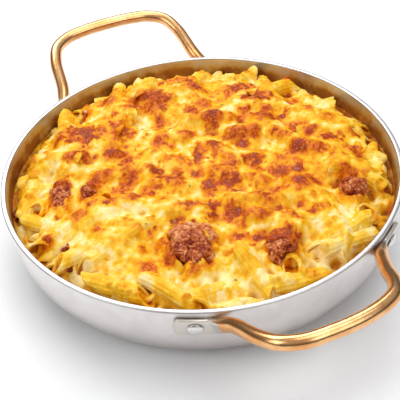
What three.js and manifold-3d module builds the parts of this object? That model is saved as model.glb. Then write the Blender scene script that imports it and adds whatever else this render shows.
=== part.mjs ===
// Penne baked under cheese in a round aluminium pan with two riveted copper handles.
// Millimetres, +Z up. The origin is the centre of the pan's flat base, and the two
// handles lie along X.
import * as THREE from 'three';
import { mergeVertices } from 'three/addons/utils/BufferGeometryUtils.js';
import Module from 'manifold-3d';

const wasm = await Module();
wasm.setup();

// ---- driving dimensions ----------------------------------------------------------
const FIT_GAP = 0.3;             // air left between pieces that touch

const PAN_HEIGHT = 50;
const RIM_RADIUS = 120;
const BASE_RADIUS = 88;
const CORNER_RADIUS = 29;        // outside, where the base turns up into the wall
const WALL = 3;
const RIM_EASE = 0.6;            // chamfer on both edges of the rim
const PAN_SIDES = 60;
const CORNER_STEPS = 5;

const ROD_DIAMETER = 8.2;
const ROD_SIDES = 10;
const ROD_STEP = 4.8;            // between sections along a handle
const PLATE_THICKNESS = 2.8;
const PLATE_HEIGHT = 12;
const PLATE_CORNER = 3.4;        // radius of a plate's rounded corners
const PLATE_SQUARENESS = 6;      // power of the plate's rounded-square section
const PLATE_LEVEL = 40.3;        // height of the plates' and the rivets' middle
const PLATE_END = 36;            // degrees from the handle's middle to a plate's end
const PLATE_NECK = 27;           // degrees to where a plate starts to turn into a rod
const RIVET_ANGLE = 30.6;        // degrees from the handle's middle to a rivet
const FLAT_LENGTH = 19.5;        // along the handle, still a flat plate
const ROUND_LENGTH = 33;         // along the handle, a full rod from here
const HANDLE_SKEW = 2.325;       // degrees that each handle sits off the X axis
// The rod's middle line from a plate to the bar's middle: outward, sideways, height.
const STRAIGHT_LEG = [
  [112.9, 50.8, 43.9],
  [119, 48, 48.3],
  [140, 44.8, 57.2],
  [151, 39.9, 61.2],
  [157.4, 30.5, 63],
  [159.9, 18.8, 63.8],
  [161, 0, 64],
];
// The hand-bent rod isn't quite even: one leg of the front handle leans in.
const LEANING_LEG = [
  [112.9, 49.8, 43.9],
  [117.8, 45.4, 47.8],
  [125.5, 40.8, 51.3],
  [135, 36, 55.4],
  [146.5, 31.2, 59.8],
  [154.4, 25, 62.5],
  [159, 14.5, 63.7],
  [161, 0, 64],
];

const RIVET_HEAD = 8.8;
const RIVET_DOME = 1.7;
const RIVET_SHANK = 4.4;
const RIVET_SIDES = 12;
const RIVET_HOLE_DRILL = 12;     // length of the drill that clears a rivet's hole
const DOME_STEPS = 3;

const EDGE_LEVEL = 38.5;         // height of the bake where it meets the wall
const CROWN_LEVEL = 49;          // height of the bake at its middle
const MOUND_POWER = 3.2;         // the higher, the flatter the middle of the mound
const CRUST_RINGS = 11;
const CRUST_DEPTH = 1.3;         // height of the crust's broad bumps

const PENNE_LENGTH = 37;
const PENNE_DIAMETER = 10.6;
const PENNE_SIDES = 7;
const PENNE_SLANT = 4.8;         // how far a slanted end runs from its middle
const PENNE_RINGS = [101, 82, 63, 43, 22];
const PENNE_SPACING = 33;        // along each ring
const PENNE_SHIFT = 8;           // loose play in or out from its ring
const PENNE_DRIFT = 0.6;         // loose play along its ring, of the space between two
const PENNE_TILT = 3;            // loose play of each end's height
const PENNE_TRIES = 10;          // headings tried, of which the roomiest is kept
const PENNE_REACH = 108.5;       // furthest that a penne's end lies from the pan's axis
const RISE_AT_EDGE = 1.6;        // of a penne's middle line above the mound
const RISE_AT_CROWN = -3;
const BORE_DIAMETER = 6.8;
const BORE_SIDES = 6;
const BORE_DEPTH = 9;
const BORE_LEAD = 4;             // how far a hollow's cutter starts outside its mouth
const BORED_RINGS = 2;           // further in, the cheese has closed the ends
const OPEN_SHARE = 0.8;          // of a hollow's mouth that must be clear to be cut

// Sausage chunks: place, half sizes along and across their heading, and height.
const CHUNKS = [
  { x: -20, y: -83, along: 12.5, across: 6, up: 5.5, detail: 2 },
  { x: -12, y: -68, along: 6.5, across: 5, up: 4.5, detail: 1 },
  { x: 60, y: -36, along: 16, across: 13, up: 8, detail: 3 },
  { x: 84, y: 7, along: 11, across: 8, up: 6.5, detail: 2 },
  { x: 62, y: 67, along: 8, across: 7, up: 5.5, detail: 2 },
];
const CHUNK_HEADING = -24;       // degrees from X
const CHUNK_ROUGHNESS = 0.15;
const CHUNK_SEAT = 0.2;          // of its height that a chunk's middle stands proud
const CHUNK_ROOM = 1.25;         // penne stay out of a chunk this much larger

// ---- helpers ---------------------------------------------------------------------
const radians = THREE.MathUtils.degToRad;
const lerp = THREE.MathUtils.lerp;
const UP = new THREE.Vector3(0, 0, 1);

// A repeatable number from 0 to 1 for a piece and a question about it.
function draw(piece, question) {
  const wave = Math.sin(piece * 12.9898 + question * 78.233) * 43758.5453;
  return wave - Math.floor(wave);
}

function polar(degrees, radius, height) {
  const angle = radians(degrees);
  return new THREE.Vector3(radius * Math.cos(angle), radius * Math.sin(angle), height);
}

function welded(geometry) {
  const bare = geometry.clone();
  bare.deleteAttribute('normal');
  bare.deleteAttribute('uv');
  return mergeVertices(bare);
}

function solid(geometry) {
  const merged = welded(geometry);
  return new wasm.Manifold(new wasm.Mesh({
    numProp: 3,
    vertProperties: new Float32Array(merged.attributes.position.array),
    triVerts: new Uint32Array(merged.index.array),
  }));
}

function geometryOf(manifold) {
  const mesh = manifold.getMesh();
  const geometry = new THREE.BufferGeometry();
  geometry.setAttribute('position', new THREE.BufferAttribute(mesh.vertProperties, 3));
  geometry.setIndex(new THREE.BufferAttribute(mesh.triVerts, 1));
  return geometry;
}

// A closed skin over rings of equally many points, with a fan over each end.
function loft(rings) {
  const sides = rings[0].length;
  const top = (rings.length - 1) * sides;
  const points = rings.flat();
  const middle = (ring) => ring
    .reduce((sum, point) => sum.add(point), new THREE.Vector3())
    .divideScalar(sides);
  const first = points.push(middle(rings[0])) - 1;
  const last = points.push(middle(rings[rings.length - 1])) - 1;
  const faces = [];
  for (let s = 0; s < sides; s++) {
    const next = (s + 1) % sides;
    faces.push(first, next, s);
    faces.push(last, top + s, top + next);
    for (let row = 0; row < top; row += sides) {
      faces.push(row + s, row + next, row + next + sides);
      faces.push(row + s, row + next + sides, row + s + sides);
    }
  }
  const geometry = new THREE.BufferGeometry().setFromPoints(points);
  geometry.setIndex(faces);
  return geometry;
}

// A body turned about Z from [radius, height] pairs that start and end on the axis.
function turned(profile, sides) {
  const points = profile.map(([radius, height]) => new THREE.Vector2(radius, height));
  return new THREE.LatheGeometry(points, sides).rotateX(Math.PI / 2);
}

// ---- the pan ---------------------------------------------------------------------
const WALL_LEAN = Math.acos(
  CORNER_RADIUS / Math.hypot(RIM_RADIUS - BASE_RADIUS, PAN_HEIGHT - CORNER_RADIUS),
) - Math.atan2(PAN_HEIGHT - CORNER_RADIUS, RIM_RADIUS - BASE_RADIUS);

// Radius of the wall at a height, at a depth into it from the outside.
function wallRadius(height, depth) {
  return RIM_RADIUS - depth / Math.cos(WALL_LEAN) - (PAN_HEIGHT - height) * Math.tan(WALL_LEAN);
}

// From the axis along the floor and round the corner, at a depth from the outside.
function floorProfile(depth) {
  const profile = [[0, depth]];
  const radius = CORNER_RADIUS - depth;
  for (let step = 0; step <= CORNER_STEPS; step++) {
    const angle = lerp(-Math.PI / 2, -WALL_LEAN, step / CORNER_STEPS);
    profile.push([
      BASE_RADIUS + radius * Math.cos(angle),
      CORNER_RADIUS + radius * Math.sin(angle),
    ]);
  }
  return profile;
}

function panBody() {
  const inner = wallRadius(PAN_HEIGHT, WALL);
  return turned([
    ...floorProfile(0),
    [RIM_RADIUS, PAN_HEIGHT - RIM_EASE],
    [RIM_RADIUS - RIM_EASE, PAN_HEIGHT],
    [inner + RIM_EASE, PAN_HEIGHT],
    [inner, PAN_HEIGHT - RIM_EASE],
    ...floorProfile(WALL).reverse(),
  ], PAN_SIDES);
}

// ---- the rivets ------------------------------------------------------------------
// Sets a body that stands on Z onto the wall, at an angle round the pan.
function ontoWall(geometry, degrees) {
  const outward = polar(degrees, Math.cos(WALL_LEAN), -Math.sin(WALL_LEAN));
  const foot = polar(degrees, wallRadius(PLATE_LEVEL, 0), PLATE_LEVEL);
  geometry.applyQuaternion(new THREE.Quaternion().setFromUnitVectors(UP, outward));
  return geometry.translate(foot.x, foot.y, foot.z);
}

function rivet(degrees) {
  const seat = FIT_GAP + PLATE_THICKNESS + FIT_GAP;
  const profile = [
    [0, -WALL],
    [RIVET_SHANK / 2, -WALL],
    [RIVET_SHANK / 2, seat],
    [RIVET_HEAD / 2, seat],
  ];
  for (let step = 1; step <= DOME_STEPS; step++) {
    const angle = (step / DOME_STEPS) * (Math.PI / 2);
    const radius = step < DOME_STEPS ? (RIVET_HEAD / 2) * Math.cos(angle) : 0;
    profile.push([radius, seat + RIVET_DOME * Math.sin(angle)]);
  }
  return ontoWall(turned(profile, RIVET_SIDES), degrees);
}

function rivetHole(degrees) {
  const radius = RIVET_SHANK / 2 + FIT_GAP;
  const bar = new THREE.CylinderGeometry(radius, radius, RIVET_HOLE_DRILL, RIVET_SIDES);
  return solid(ontoWall(bar.rotateX(Math.PI / 2), degrees));
}

// ---- the handles -----------------------------------------------------------------
// Half of a handle's middle line, from a plate's end to the middle of the bar.
function halfRoute(leg, side) {
  const plateRadius = wallRadius(PLATE_LEVEL, 0) + FIT_GAP + PLATE_THICKNESS / 2;
  const plate = [PLATE_END, (PLATE_END + RIVET_ANGLE) / 2, RIVET_ANGLE, PLATE_NECK]
    .map((degrees) => polar(degrees, plateRadius, PLATE_LEVEL).toArray());
  return [...plate, ...leg].map(([x, y, z]) => new THREE.Vector3(x, side * y, z));
}

function rodRoute(firstLeg, secondLeg) {
  const second = halfRoute(secondLeg, -1).slice(0, -1).reverse();
  return new THREE.CatmullRomCurve3([...halfRoute(firstLeg, 1), ...second], false, 'centripetal');
}

// One section: flat against the wall at the plates, round along the rod.
function rodSection(route, length, distance) {
  const fromEnd = Math.min(distance, length - distance);
  const roundness = THREE.MathUtils.smoothstep(fromEnd, FLAT_LENGTH, ROUND_LENGTH);
  const corner = Math.max(0, PLATE_CORNER - fromEnd);
  const cut = PLATE_CORNER - Math.sqrt(PLATE_CORNER ** 2 - corner ** 2);
  const halfHeight = lerp(PLATE_HEIGHT, ROD_DIAMETER, roundness) / 2 - cut;
  const halfThickness = lerp(PLATE_THICKNESS, ROD_DIAMETER, roundness) / 2;
  const power = 2 / lerp(PLATE_SQUARENESS, 2, roundness);
  const lean = WALL_LEAN * (1 - roundness);

  const along = route.getTangentAt(distance / length);
  const out = new THREE.Vector3().crossVectors(UP, along).normalize();
  const high = new THREE.Vector3().crossVectors(along, out);
  const outward = out.clone().multiplyScalar(Math.cos(lean))
    .addScaledVector(high, -Math.sin(lean));
  const upward = high.multiplyScalar(Math.cos(lean)).addScaledVector(out, Math.sin(lean));

  const middle = route.getPointAt(distance / length);
  const ring = [];
  for (let side = 0; side < ROD_SIDES; side++) {
    const angle = (side / ROD_SIDES) * 2 * Math.PI;
    const a = Math.cos(angle);
    const b = Math.sin(angle);
    ring.push(middle.clone()
      .addScaledVector(outward, halfThickness * Math.sign(a) * Math.abs(a) ** power)
      .addScaledVector(upward, halfHeight * Math.sign(b) * Math.abs(b) ** power));
  }
  return ring;
}

function handle({ degrees, legs }) {
  const route = rodRoute(...legs);
  route.arcLengthDivisions = 400;
  const length = route.getLength();
  const tip = [0, 0.25, 0.6, 1].map((share) => share * PLATE_CORNER);
  const steps = Math.round((length - 2 * PLATE_CORNER) / ROD_STEP);
  const between = Array.from({ length: steps - 1 }, (_, step) => (
    lerp(PLATE_CORNER, length - PLATE_CORNER, (step + 1) / steps)
  ));
  const places = [...tip, ...between, ...tip.map((d) => length - d).reverse()];
  const rod = loft(places.map((distance) => rodSection(route, length, distance)));
  rod.rotateZ(radians(degrees));
  return rivetAngles(degrees).reduce((body, at) => body.subtract(rivetHole(at)), solid(rod));
}

function rivetAngles(degrees) {
  return [degrees - RIVET_ANGLE, degrees + RIVET_ANGLE];
}

// ---- the bake --------------------------------------------------------------------
// The crust's broad bumps, about 15 mm apart, where penne push up under the cheese.
function crustRelief(x, y) {
  const broad = Math.sin(0.19 * x + 0.11 * y + 1.3) * Math.sin(0.21 * y - 0.12 * x + 0.7);
  const fine = Math.sin(0.37 * x - 0.29 * y + 2.1) * Math.sin(0.33 * x + 0.41 * y + 0.4);
  return CRUST_DEPTH * (broad + 0.6 * fine);
}

function bakeLevel(x, y) {
  const share = Math.min(1, Math.hypot(x, y) / wallRadius(EDGE_LEVEL, WALL));
  return lerp(CROWN_LEVEL, EDGE_LEVEL, share ** MOUND_POWER) + crustRelief(x, y);
}

function bakeCore() {
  const skin = WALL + FIT_GAP;
  const circle = (radius, level) => Array.from({ length: PAN_SIDES }, (_, side) => {
    const point = polar((side / PAN_SIDES) * 360, radius, 0);
    point.z = level(point.x, point.y);
    return point;
  });
  const floor = floorProfile(skin).slice(1)
    .map(([radius, height]) => circle(radius, () => height));
  const edge = wallRadius(EDGE_LEVEL, skin);
  const crust = Array.from({ length: CRUST_RINGS }, (_, ring) => (
    circle(edge * (1 - ring / CRUST_RINGS), bakeLevel)
  ));
  return solid(loft([...floor, ...crust]));
}

// The space inside the pan, which nothing in the bake reaches out of.
function panSpace() {
  const skin = WALL + FIT_GAP;
  const brim = 2 * PAN_HEIGHT;
  return solid(turned([...floorProfile(skin), [wallRadius(brim, skin), brim], [0, brim]],
    PAN_SIDES));
}

// How far a penne would lie from its nearest neighbour, or -1 where it meets a chunk.
function clearance(ends, placed) {
  const points = alongPenne(ends);
  const meets = (chunk) => points.some((point) => (
    Math.hypot(point.x - chunk.x, point.y - chunk.y)
      < CHUNK_ROOM * chunk.along + PENNE_DIAMETER / 2));
  if (CHUNKS.some(meets)) return -1;
  const others = placed.flatMap((place) => alongPenne(place.ends));
  return Math.min(PENNE_LENGTH, ...others.flatMap((other) => (
    points.map((point) => Math.hypot(point.x - other.x, point.y - other.y)))));
}

function alongPenne(ends) {
  return [0, 0.25, 0.5, 0.75, 1].map((share) => ends[0].clone().lerp(ends[1], share));
}

// A penne's two ends on plan: centred near its place, and moved in clear of the wall.
function penneEnds(middle, degrees) {
  const half = polar(degrees, PENNE_LENGTH / 2, 0);
  const ends = [middle.clone().sub(half), middle.clone().add(half)];
  const over = Math.max(...ends.map((end) => end.length())) - PENNE_REACH;
  const inward = middle.clone().setLength(-Math.max(0, over));
  return ends.map((end) => end.add(inward));
}

// The penne that stand out of the cheese, on rings round the dish, as two ends each.
function penneLayout() {
  const placed = [];
  PENNE_RINGS.forEach((radius, ring) => {
    const count = Math.floor((2 * Math.PI * radius) / PENNE_SPACING);
    const rise = lerp(RISE_AT_CROWN, RISE_AT_EDGE, radius / PENNE_RINGS[0]);
    for (let k = 0; k < count; k++) {
      const piece = ring * 100 + k;
      const around = ((k + PENNE_DRIFT * draw(piece, 1)) / count) * 360;
      const middle = polar(around, radius + PENNE_SHIFT * (draw(piece, 2) - 0.5), 0);
      const tries = Array.from({ length: PENNE_TRIES }, (_, attempt) => (
        penneEnds(middle, 360 * draw(piece, 10 + attempt))));
      const rooms = tries.map((ends) => clearance(ends, placed));
      const best = Math.max(...rooms);
      if (best < 0) continue;
      const ends = tries[rooms.indexOf(best)];
      ends.forEach((end, which) => {
        const play = PENNE_TILT * (draw(piece, 4 + which) - 0.5);
        end.z = bakeLevel(end.x, end.y) + rise + play;
      });
      placed.push({ piece, ring, ends });
    }
  });
  return placed;
}

// A straight tube piece between two points, its ends cut on a slant.
function slantedBar(from, to, diameter, sides, piece) {
  const along = to.clone().sub(from).normalize();
  const across = new THREE.Vector3().crossVectors(UP, along).normalize();
  const high = new THREE.Vector3().crossVectors(along, across);
  const turn = 2 * Math.PI * draw(piece, 6);
  return [from, to].map((end) => Array.from({ length: sides }, (_, side) => {
    const angle = (side / sides) * 2 * Math.PI;
    const slant = (PENNE_SLANT * Math.cos(angle - turn) * diameter) / PENNE_DIAMETER;
    return end.clone()
      .addScaledVector(along, slant)
      .addScaledVector(across, (diameter / 2) * Math.cos(angle))
      .addScaledVector(high, (diameter / 2) * Math.sin(angle));
  }));
}

function penne({ piece, ends }) {
  return solid(loft(slantedBar(ends[0], ends[1], PENNE_DIAMETER, PENNE_SIDES, piece)));
}

// The hollow at one end of a penne, and the part of it just outside the penne's mouth.
function bore({ piece, ends }, which) {
  const inward = ends[1 - which].clone().sub(ends[which]).normalize();
  const reach = (distance) => ends[which].clone().addScaledVector(inward, distance);
  const bar = (depth) => {
    const tips = [reach(-BORE_LEAD), reach(depth)];
    if (which === 1) tips.reverse();
    return solid(loft(slantedBar(...tips, BORE_DIAMETER, BORE_SIDES, piece)));
  };
  return { hollow: bar(BORE_DEPTH), mouth: bar(-FIT_GAP) };
}

function bake() {
  const space = panSpace();
  const pieces = penneLayout();
  const heap = pieces.reduce((body, place) => body.add(penne(place)), bakeCore());
  return pieces.filter(({ ring }) => ring < BORED_RINGS)
    .flatMap((place) => [bore(place, 0), bore(place, 1)])
    .filter(({ mouth }) => mouth.subtract(heap).volume() > OPEN_SHARE * mouth.volume())
    .reduce((body, { hollow }) => body.subtract(hollow), heap)
    .intersect(space)
    // Hollows that the joining has sealed are filled, and loose scraps go.
    .decompose()
    .reduce((largest, part) => (part.volume() > largest.volume() ? part : largest));
}

// ---- the sausage chunks ----------------------------------------------------------
function lump({ x, y, along, across, up, detail }, seed) {
  const geometry = welded(new THREE.IcosahedronGeometry(1, detail));
  const place = geometry.attributes.position;
  const point = new THREE.Vector3();
  for (let i = 0; i < place.count; i++) {
    point.fromBufferAttribute(place, i);
    const swell = Math.sin(3.3 * point.x + 2 * seed) * Math.cos(2.9 * point.y + seed)
      + 0.6 * Math.sin(6.1 * point.z + 4.3 * point.x + 3 * seed);
    point.multiplyScalar(1 + CHUNK_ROUGHNESS * swell);
    place.setXYZ(i, point.x * along, point.y * across, point.z * up);
  }
  geometry.rotateZ(radians(CHUNK_HEADING));
  return solid(geometry.translate(x, y, bakeLevel(x, y) + CHUNK_SEAT * up));
}

// ---- the whole object ------------------------------------------------------------
const FINISHES = {
  aluminium: { color: 0xcdcaca, roughness: 0.35, metalness: 1 },
  copper: { color: 0xd78f50, roughness: 0.25, metalness: 1 },
  rivet: { color: 0xdad8d6, roughness: 0.25, metalness: 1 },
  cheese: { color: 0xf7c255, roughness: 0.6, metalness: 0 },
  sausage: { color: 0x97493a, roughness: 0.55, metalness: 0 },
};

const dish = new THREE.Group();

function addPiece(name, body, finish) {
  const mesh = new THREE.Mesh(body, new THREE.MeshStandardMaterial(FINISHES[finish]));
  mesh.name = name;
  dish.add(mesh);
}

const HANDLES = {
  front: { degrees: HANDLE_SKEW, legs: [LEANING_LEG, STRAIGHT_LEG] },
  back: { degrees: 180 - HANDLE_SKEW, legs: [STRAIGHT_LEG, STRAIGHT_LEG] },
};
const allRivets = Object.values(HANDLES).flatMap(({ degrees }) => rivetAngles(degrees));
const pan = allRivets.reduce((body, at) => body.subtract(rivetHole(at)), solid(panBody()));
addPiece('pan', geometryOf(pan), 'aluminium');

Object.entries(HANDLES).forEach(([side, shape]) => {
  addPiece(`handle_${side}`, geometryOf(handle(shape)), 'copper');
  rivetAngles(shape.degrees).forEach((at, index) => {
    addPiece(`rivet_${side}_${index + 1}`, rivet(at), 'rivet');
  });
});

addPiece('pasta_bake', geometryOf(bake()), 'cheese');

const seat = bakeCore().translate([0, 0, FIT_GAP]);
CHUNKS.forEach((chunk, index) => {
  const body = lump(chunk, index + 1).subtract(seat);
  addPiece(`sausage_${index + 1}`, geometryOf(body), 'sausage');
});

export default dish;
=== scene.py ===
# %% [markdown]
# # A dish of baked penne
# A round aluminium pan with two riveted copper handles, full of penne baked under
# cheese, with chunks of sausage on top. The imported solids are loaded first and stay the
# frame that everything is fitted to. Each piece below is then a surface worked out with
# numpy: a profile turned round an axis, a section carried along a path, or a height
# field laid over the dish.

# %% load the frame
import math

import bpy
import numpy as np
from mathutils import Matrix, Vector


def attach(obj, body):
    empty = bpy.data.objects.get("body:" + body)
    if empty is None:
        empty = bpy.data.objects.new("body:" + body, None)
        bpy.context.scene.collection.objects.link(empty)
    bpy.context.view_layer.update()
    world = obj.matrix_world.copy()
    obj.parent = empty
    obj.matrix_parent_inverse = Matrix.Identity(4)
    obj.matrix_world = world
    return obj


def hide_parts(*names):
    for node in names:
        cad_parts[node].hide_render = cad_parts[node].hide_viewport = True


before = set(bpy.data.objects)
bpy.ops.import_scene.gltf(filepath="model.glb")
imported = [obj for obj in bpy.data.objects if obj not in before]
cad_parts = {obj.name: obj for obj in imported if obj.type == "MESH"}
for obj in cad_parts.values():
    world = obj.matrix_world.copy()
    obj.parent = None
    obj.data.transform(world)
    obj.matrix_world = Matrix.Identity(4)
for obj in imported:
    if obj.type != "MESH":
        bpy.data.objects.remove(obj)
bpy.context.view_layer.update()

MM = 0.001
print("solids:", len(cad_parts))

# %% [markdown]
# ## From arrays to meshes
# Every shape ends up as rows of points in millimetres and rows of corner numbers. One
# function turns them into an object at the origin, and others join a grid of points
# with quads. A value kept per point becomes a mesh attribute, which a material can read.

# %% a mesh from arrays
def put(name, data):
    """An object in the scene, at the origin, for a mesh, a lamp or a camera."""
    thing = bpy.data.objects.new(name, data)
    bpy.context.scene.collection.objects.link(thing)
    return thing


def facing_out(points, faces):
    """The same faces, all turned over if together they enclose a negative volume."""
    tris = np.vstack([block[:, [0, k, k + 1]] for block in faces
                      for k in range(1, block.shape[1] - 1)])
    a, b, c = (points - points.mean(0))[tris.T]
    inside_out = np.einsum("ij,ij->", a, np.cross(b, c)) < 0
    return [block[:, ::-1] for block in faces] if inside_out else faces


def joined(parts):
    """Several closed (points, faces) made one, all facing out, with each part's faces
    counted on from the last."""
    offset, points, faces = 0, [], []
    for part_points, part_faces in parts:
        points.append(part_points)
        faces += [block + offset for block in facing_out(part_points, part_faces)]
        offset += len(part_points)
    return np.vstack(points), faces


def make_piece(name, points, faces, material, slot, replaced=(), marks=None):
    """An object at the origin from points in mm and blocks of faces, each block with one
    number of corners. Each entry of marks is one value per point, stored as an attribute.
    The piece rides the dish's one body and stands in for the replaced solids."""
    faces = facing_out(points, faces)
    corners = np.concatenate([block.ravel() for block in faces])
    sizes = np.concatenate([np.full(len(block), block.shape[1]) for block in faces])
    mesh = bpy.data.meshes.new(name)
    mesh.vertices.add(len(points))
    mesh.vertices.foreach_set("co", (points * MM).ravel())
    mesh.loops.add(len(corners))
    mesh.loops.foreach_set("vertex_index", corners.astype(np.int32))
    mesh.polygons.add(len(sizes))
    mesh.polygons.foreach_set("loop_start", (np.cumsum(sizes) - sizes).astype(np.int32))
    mesh.update(calc_edges=True)
    mesh.validate()
    mesh.polygons.foreach_set("use_smooth", np.ones(len(mesh.polygons), bool))
    for mark, values in (marks or {}).items():
        layer = mesh.attributes.new(mark, "FLOAT", "POINT")
        layer.data.foreach_set("value", np.asarray(values, np.float32).ravel())
    mesh.materials.append(material)
    piece = put(name, mesh)
    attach(piece, "root")
    if replaced:
        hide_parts(*replaced)
    print(f"{name}: {int((sizes - 2).sum())} triangles")

# %% grids and turned shapes
def circle(sides):
    """Angles spaced evenly round a circle."""
    return np.arange(sides) * 2 * np.pi / sides


def way(angle):
    """One step on plan at an angle."""
    return np.array([math.cos(angle), math.sin(angle)])


def grid_quads(rows, columns, around=True, joined_rows=False):
    """Quads between each point of a rows by columns grid and its next neighbours. around
    joins the last column to the first, and joined_rows the last row to the first."""
    r = np.arange(rows if joined_rows else rows - 1)[:, None]
    c = np.arange(columns if around else columns - 1)[None, :]
    up, on = (r + 1) % rows * columns, (c + 1) % columns
    return np.stack([r * columns + c, r * columns + on, up + on, up + c], -1).reshape(-1, 4)


def capped(rings, tips=None):
    """Points and faces of rings of points, with a fan from the first and the last ring to
    a tip each, or to the ring's own middle."""
    rows, sides = rings.shape[:2]
    tips = tips or (rings[0].mean(0), rings[-1].mean(0))
    here = np.arange(sides)
    there, last, tip = (here + 1) % sides, (rows - 1) * sides, rows * sides
    start = np.stack([there, here, np.full(sides, tip)], -1)
    end = np.stack([last + here, last + there, np.full(sides, tip + 1)], -1)
    return np.vstack([rings.reshape(-1, 3), *tips]), [grid_quads(rows, sides), start, end]


def turned(profile, sides):
    """A profile of (radius, height) pairs turned round Z. The first and the last pair lie
    on the axis and become the tips."""
    profile = np.asarray(profile, float)
    angle = circle(sides)
    radius, height = profile[1:-1, :1], profile[1:-1, 1:]
    rings = np.stack([radius * np.cos(angle), radius * np.sin(angle), height + 0 * angle], -1)
    return capped(rings, [(0, 0, profile[0, 1]), (0, 0, profile[-1, 1])])


def turn_about_z(points, degrees):
    """Points turned about Z."""
    c, s = way(math.radians(degrees))
    return np.asarray(points) @ np.array([[c, s, 0], [-s, c, 0], [0, 0, 1]])


def arc(centre, radius, start, end, steps):
    """Points on an arc in degrees round a centre, in order, both ends kept."""
    angle = np.radians(np.linspace(start, end, steps + 1))
    return [(centre[0] + radius * a, centre[1] + radius * b)
            for a, b in zip(np.cos(angle), np.sin(angle))]

# %% [markdown]
# ## Uneven numbers that repeat
# Food is uneven, but the script has to give the same dish every time. Smooth noise is
# made from a fixed rule: each corner of an imagined lattice gets a number from the
# fraction of a large sine, and the numbers are blended between corners.

# %% repeatable noise
LATTICE = np.array([127.1, 311.7, 74.7])
SEED_SHIFT, SEED_TURN = 37.7, 17.3      # of the lattice and of its numbers, per seed


def chance(angle):
    """A number from 0 to 1 for an angle: the fraction of a large sine."""
    wave = np.sin(angle) * 43758.5453
    return wave - np.floor(wave)


def draw(piece, question):
    """A number from 0 to 1 for a piece and a question about it."""
    return chance(piece * 12.9898 + question * 78.233)


def noise(points, size, seed=0):
    """Smooth noise from -1 to 1 over points, with bumps about size across."""
    place = np.asarray(points, float) / size + SEED_SHIFT * (seed + 1)
    corner = np.floor(place)
    blend = place - corner
    blend = blend ** 3 * (blend * (blend * 6 - 15) + 10)
    axes = place.shape[-1]
    total = 0
    for step in np.ndindex(*(2,) * axes):
        weight = np.prod(np.where(np.array(step), blend, 1 - blend), -1)
        total = total + weight * chance((corner + step) @ LATTICE[:axes] + seed * SEED_TURN)
    return 2 * total - 1


def rough(points, size, octaves, seed=0, fade=0.5):
    """Noise added to itself at half the size and fade times the height, octaves times."""
    return sum(noise(points, size / 2 ** k, seed + 5 * k) * fade ** k for k in range(octaves))


def grained(points, size, seed=0):
    """Rounded grains with sharp creases between them, from 0 in a crease to about 1: the
    size of smooth noise without its sign, at two sizes."""
    return (1.5 * np.abs(noise(points, size, seed))
            + 0.6 * np.abs(noise(points, size / 2, seed + 4)))


def pebbled(points, size, seed=0):
    """Rounded pebbles side by side, 1 on top of each and about 0 between them: one less the
    square of the distance to the nearest of points scattered one to a lattice cell."""
    place = np.asarray(points, float) / size + SEED_SHIFT * (seed + 1)
    cell, axes = np.floor(place), place.shape[-1]
    nearest = np.ones(place.shape[:-1])
    for step in np.ndindex(*(3,) * axes):
        corner = cell + step - 1
        key = corner @ LATTICE[:axes] + seed * SEED_TURN
        spot = corner + np.stack([chance(key + 19.2 * k) for k in range(axes)], -1)
        nearest = np.minimum(nearest, np.linalg.norm(spot - place, axis=-1))
    return 1 - nearest ** 2


def ease(value, low, high):
    """0 below low, 1 above high, and a smooth step between."""
    share = np.clip((value - low) / (high - low), 0, 1)
    return share * share * (3 - 2 * share)

# %% [markdown]
# ## Building materials
# A material is a small graph of nodes. These helpers add a node, link it or set its
# value, so that each finish below reads as one short recipe. Each finds the graph from
# the value that it is given. Patterns come from Object coordinates, which are real
# metres on the dish, or from the values kept on the mesh.

# %% node helpers
def is_socket(value):
    """Whether a value comes out of a node."""
    return isinstance(value, bpy.types.NodeSocket)


def feed(node, **inputs):
    """Each input of a node, by name or as an underscore and its number, linked or set."""
    for name, value in inputs.items():
        socket = node.inputs[int(name[1:]) if name[1:].isdigit() else name.replace("_", " ")]
        if is_socket(value):
            node.id_data.links.new(value, socket)
        else:
            socket.default_value = value
    return node


def add_node(owner, kind, settings=None, **inputs):
    """A node of a kind in the owner's graph, with its settings and inputs."""
    node = owner.id_data.nodes.new(kind)
    for setting, value in (settings or {}).items():
        setattr(node, setting, value)
    return feed(node, **inputs)


def maths(kind, a, b):
    """Maths on two values, each a socket or a number."""
    return add_node(a if is_socket(a) else b, "ShaderNodeMath", {"operation": kind},
                    _0=a, _1=b).outputs[0]


def plus(a, b):
    """The sum of two values."""
    return maths("ADD", a, b)


def minus(a, b):
    """One value less another."""
    return maths("SUBTRACT", a, b)


def times(a, b):
    """The product of two values."""
    return maths("MULTIPLY", a, b)


def spread(value, low, high, to_low=0.0, to_high=1.0):
    """A value's range from low to high eased onto another range, and held inside it."""
    return add_node(value, "ShaderNodeMapRange", {"interpolation_type": "SMOOTHSTEP"},
                    _0=value, _1=low, _2=high, _3=to_low, _4=to_high).outputs[0]


def seen(red, green, blue):
    """The linear colour of an sRGB one given from 0 to 255."""
    share = np.array([red, green, blue]) / 255
    linear = np.where(share < 0.04045, share / 12.92, ((share + 0.055) / 1.055) ** 2.4)
    return (*linear, 1.0)


def ramp(value, *stops):
    """Colours blended between stops, each a place from 0 to 1 and an sRGB colour."""
    node = add_node(value, "ShaderNodeValToRGB", _0=value)
    band = node.color_ramp.elements
    while len(band) < len(stops):
        band.new(0.5)
    for element, (place, *colour) in zip(band, stops):
        element.position, element.color = place, seen(*colour)
    return node.outputs["Color"]


def mixed(share, a, b, kind="MIX"):
    """Two colours mixed by a share from 0 to 1."""
    return add_node(share, "ShaderNodeMix", {"data_type": "RGBA", "blend_type": kind},
                    _0=share, _6=a, _7=b).outputs[2]


def speckle(where, scale, detail=2.0, roughness=0.5, stretch=0.0):
    """Procedural noise of a scale per metre over Object coordinates."""
    return add_node(where, "ShaderNodeTexNoise", Vector=where, Scale=scale, Detail=detail,
                    Roughness=roughness, Distortion=stretch).outputs[0]


def height_of(where):
    """The upright part of a place or of a direction."""
    return add_node(where, "ShaderNodeSeparateXYZ", _0=where).outputs[2]


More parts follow.
